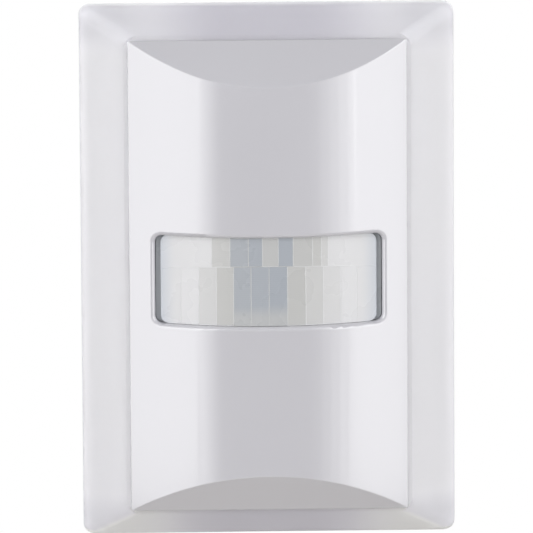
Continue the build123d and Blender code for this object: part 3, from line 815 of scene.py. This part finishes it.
# %% Studio sheet and air
SHEET_GREY = (0.3, 0.3, 0.3)
GLOW = 1.0
AIR_STRENGTH = 0.335


def white_when_seen(tree, lit, glow, output):
    """Show the glow to what looks straight here, and the lit shader to all other light."""
    mix = tree.nodes.new("ShaderNodeMixShader")
    tree.links.new(tree.nodes.new("ShaderNodeLightPath").outputs["Is Camera Ray"], mix.inputs["Fac"])
    tree.links.new(lit, mix.inputs[1])
    tree.links.new(glow, mix.inputs[2])
    tree.links.new(mix.outputs["Shader"], output)


sheet_white = finish(
    "sheet_white", SHEET_GREY, rough=(0.8, 0.9), drift=0.01, grain=0.05, grain_size=2.0
)
sheet = sheet_white.node_tree
sheet_glow = sheet.nodes.new("ShaderNodeEmission")
sheet_glow.inputs["Strength"].default_value = GLOW
white_when_seen(
    sheet, sheet.nodes["Principled BSDF"].outputs["BSDF"], sheet_glow.outputs["Emission"],
    sheet.nodes["Material Output"].inputs["Surface"],
)
sweep.data.materials.append(sheet_white)

world = bpy.data.worlds.new("studio_air")
world.use_nodes = True
scene.world = world
air = world.node_tree
air_glow = air.nodes.new("ShaderNodeBackground")
for background, strength in ((air.nodes["Background"], AIR_STRENGTH), (air_glow, GLOW)):
    background.inputs["Color"].default_value = WHITE
    background.inputs["Strength"].default_value = strength
white_when_seen(
    air, air.nodes["Background"].outputs["Background"], air_glow.outputs["Background"],
    air.nodes["World Output"].inputs["Surface"],
)
print("sheet:", sheet_white.name, "air:", world.name)

# %% [markdown]
# ## Lamps
#
# Two tall soft boxes stand left and right of the camera, so the barrel carries two bright bands with a
# calmer band between them, where it mirrors the dark space round the camera. Dimmer boxes fill in from
# the sides, two warm cards lift the underside, and one box lights the back. Each lamp is given by the
# azimuths and elevations that it fills, seen from the object, because that is what a curved mirror
# shows. Azimuth 0 is straight in front and grows to the right.

# %% Place the soft boxes
BOX_RISE = (-17, 42)
BOX_AWAY = 0.6
CARD_SPREAD = (-30, 30)
CARD_WARM = (1.0, 0.91, 0.80)
LAMP_WHITE = (1.0, 1.0, 1.0)


def toward(azimuth, elevation):
    """The direction from the object to an azimuth and an elevation in degrees."""
    turn, lift = math.radians(azimuth), math.radians(elevation)
    return Vector((math.sin(turn) * math.cos(lift), -math.cos(turn) * math.cos(lift), math.sin(lift)))


def soft_box(name, azimuths, elevations, distance, strength, color=LAMP_WHITE):
    """A lamp that fills some azimuths and elevations; strength is how bright it looks, at any size."""
    way = toward(sum(azimuths) / 2, sum(elevations) / 2)
    width, height = (
        2 * distance * math.tan(math.radians((ends[1] - ends[0]) / 2)) for ends in (azimuths, elevations)
    )
    lamp = bpy.data.lights.new(name, "AREA")
    lamp.shape = "RECTANGLE"
    lamp.size = width
    lamp.size_y = height
    lamp.energy = strength * width * height * math.pi
    lamp.color = color
    box = new_object(name, lamp)
    box.location = way * distance
    box.rotation_euler = (-way).to_track_quat("-Z", "Y").to_euler()
    box.visible_camera = False


soft_box("box_left", (-62, -27), BOX_RISE, BOX_AWAY, strength=2.62)
soft_box("box_left_side", (-110, -62), BOX_RISE, BOX_AWAY, strength=0.75)
soft_box("box_right", (36.4, 60), BOX_RISE, BOX_AWAY, strength=2.75)
soft_box("box_right_side", (60, 110), BOX_RISE, BOX_AWAY, strength=0.9)
soft_box("card_front", CARD_SPREAD, (-62, -38), distance=0.32, strength=0.42, color=CARD_WARM)
soft_box("card_low", CARD_SPREAD, (-95, -65), distance=0.28, strength=0.34, color=CARD_WARM)
soft_box("box_back", (135, 225), (0, 45), distance=1.2, strength=1.6)

# %% [markdown]
# A real soft box is often turned so that its inner side fades out, which is called feathering. An
# area lamp here is equally bright all over, so each fade is a row of narrow strips that grow brighter
# outwards. The right one fades more slowly than the left one.

# %% Feather the boxes
FEATHERS = {"left": (-18.5, -28.0, 2.62), "right": (18.5, 37.5, 2.75)}
FEATHER_STEPS = 5
FEATHER_CURVE = 1.15

for side, (start, end, strength) in FEATHERS.items():
    stride = (end - start) / FEATHER_STEPS
    for step in range(FEATHER_STEPS):
        strip = sorted((start + step * stride, start + (step + 1) * stride))
        share = (step + 0.5) / FEATHER_STEPS
        soft_box(f"feather_{side}_{step}", strip, BOX_RISE, BOX_AWAY, strength * share**FEATHER_CURVE)
print("feather strips:", len(FEATHERS) * FEATHER_STEPS)

# %% [markdown]
# ## Camera
#
# A long lens far away keeps the sides of the border parallel. It looks from a little above and a hair
# to the left, with a slight roll, as a hand-set tripod does. The focal length follows from how much of
# the object has to fit in the view at that distance.

# %% Place the camera
VIEW_AZIMUTH = -1.2
VIEW_ELEVATION = 11.65
VIEW_ROLL = 0.36
VIEW_DISTANCE = 2.2
VIEW_WIDTH = 0.12
VIEW_ASIDE = -0.27 * MM
VIEW_LIFT = 0.67 * MM
VIEW_FAR = 40
SENSOR = 36.0

way = toward(VIEW_AZIMUTH, VIEW_ELEVATION)
aim = Vector((VIEW_ASIDE, cad_low.y / 2, VIEW_LIFT))
camera_data = bpy.data.cameras.new("camera")
camera_data.sensor_width = SENSOR
camera_data.lens = SENSOR * VIEW_DISTANCE / VIEW_WIDTH
camera_data.clip_end = VIEW_FAR
camera = new_object("camera", camera_data)
camera.location = aim + way * VIEW_DISTANCE
look = (-way).to_track_quat("-Z", "Y").to_matrix().to_4x4()
camera.rotation_euler = (look @ Matrix.Rotation(math.radians(-VIEW_ROLL), 4, "Z")).to_euler()
scene.camera = camera
print("focal length:", round(camera_data.lens, 1), "mm")
